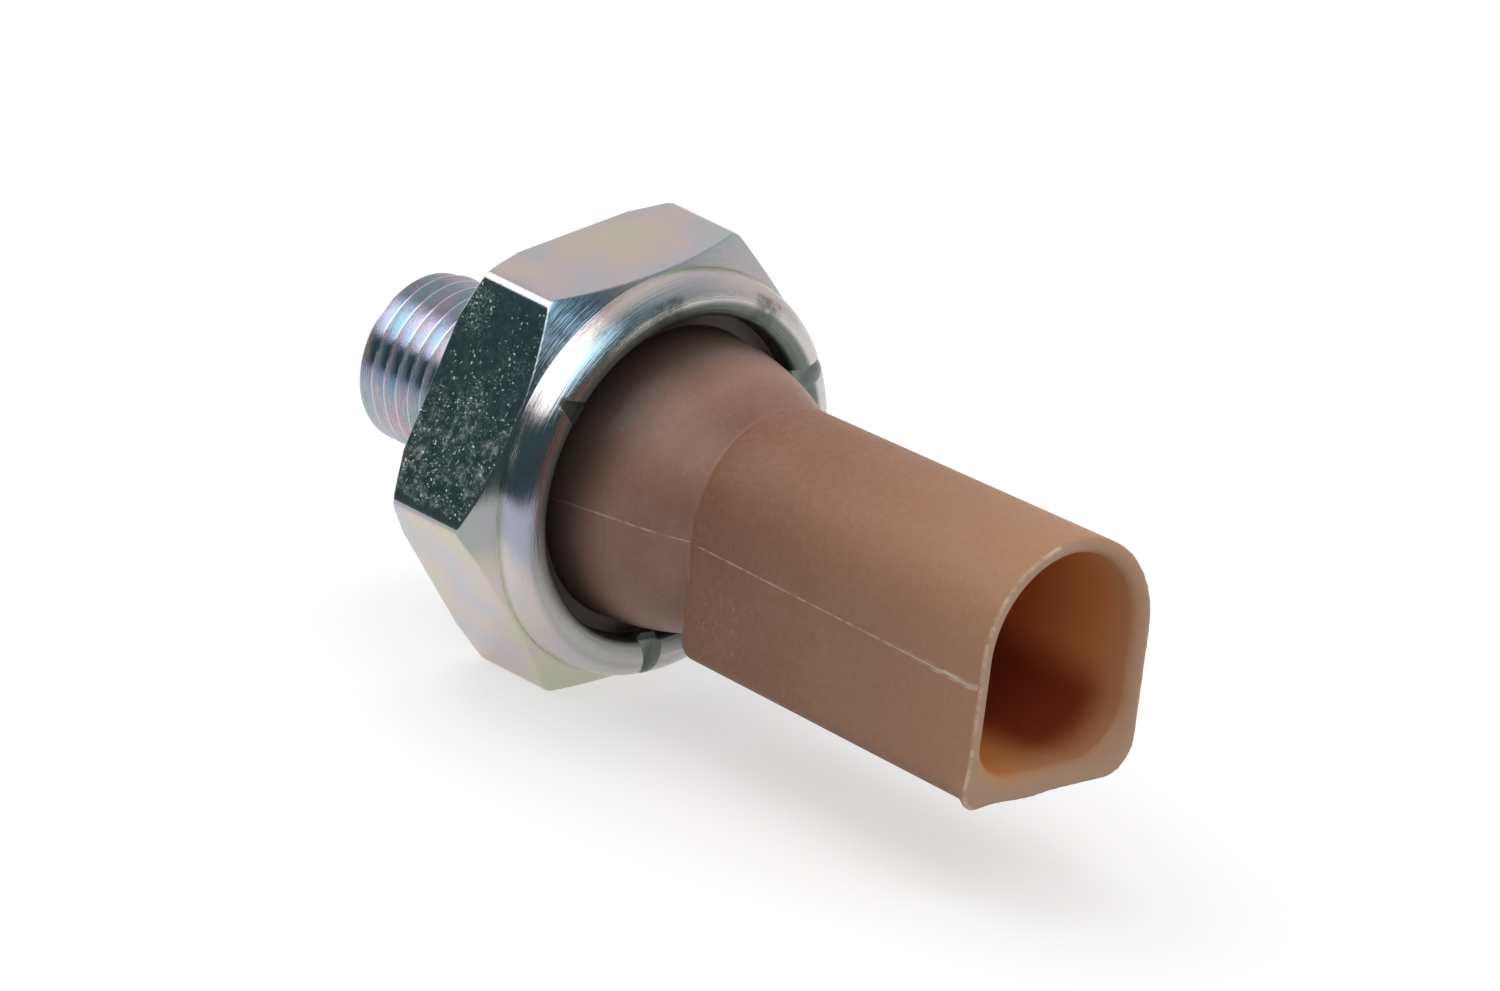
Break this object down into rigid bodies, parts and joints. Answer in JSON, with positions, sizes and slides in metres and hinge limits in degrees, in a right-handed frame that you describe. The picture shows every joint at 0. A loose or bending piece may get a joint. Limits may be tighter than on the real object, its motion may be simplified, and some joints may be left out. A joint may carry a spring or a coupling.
{
  "type": "oil pressure sender",
  "caption": "Low oil pressure sender: threaded steel stud and hexagon with a sealing washer, crimped over a brown plastic D-shaped one-pin socket.",
  "frame": {"origin": "centre of the sealing washer's engine-side face, on the thread axis; the part is made to be screwed in, so it keeps its own frame", "axes": "+X along the thread axis from the stud towards the socket's mouth; +Z leaves the socket's round top, the socket's flat bottom faces -Z; +Y completes the right-handed frame"},
  "size_m": [0.0524, 0.0272, 0.0256],
  "materials": {
    "plated_steel": "zinc plated, passivated with a pale rainbow tint",
    "washer_metal": "plain soft aluminium",
    "brown_plastic": "satin, slightly translucent polyamide",
    "rubber": "matt",
    "tinned_brass": "tinned brass",
    "spring_steel": "bright wire",
    "contact_brass": "stamped brass",
    "pale_plastic": "natural polyamide",
    "film": "amber film"
  },
  "bodies": {
    "body": {"hex_body": "plated_steel", "seal_washer": "washer_metal", "connector_housing": "brown_plastic", "housing_o_ring": "rubber", "terminal_blade": "tinned_brass", "spring_seat": "plated_steel", "contact_spring": "spring_steel", "contact_plate": "contact_brass", "diaphragm": "film", "diaphragm_seal": "rubber"},
    "contact_set": {"contact_disc": "contact_brass", "tappet": "pale_plastic"}
  },
  "joints": [
    {"name": "tappet_travel", "type": "slide", "parent": "body", "child": "contact_set", "axis": [1, 0, 0], "range_m": [0, 0.0004], "stiffness_N_per_m": 100, "deforming": ["contact_spring", "diaphragm"]}
  ]
}
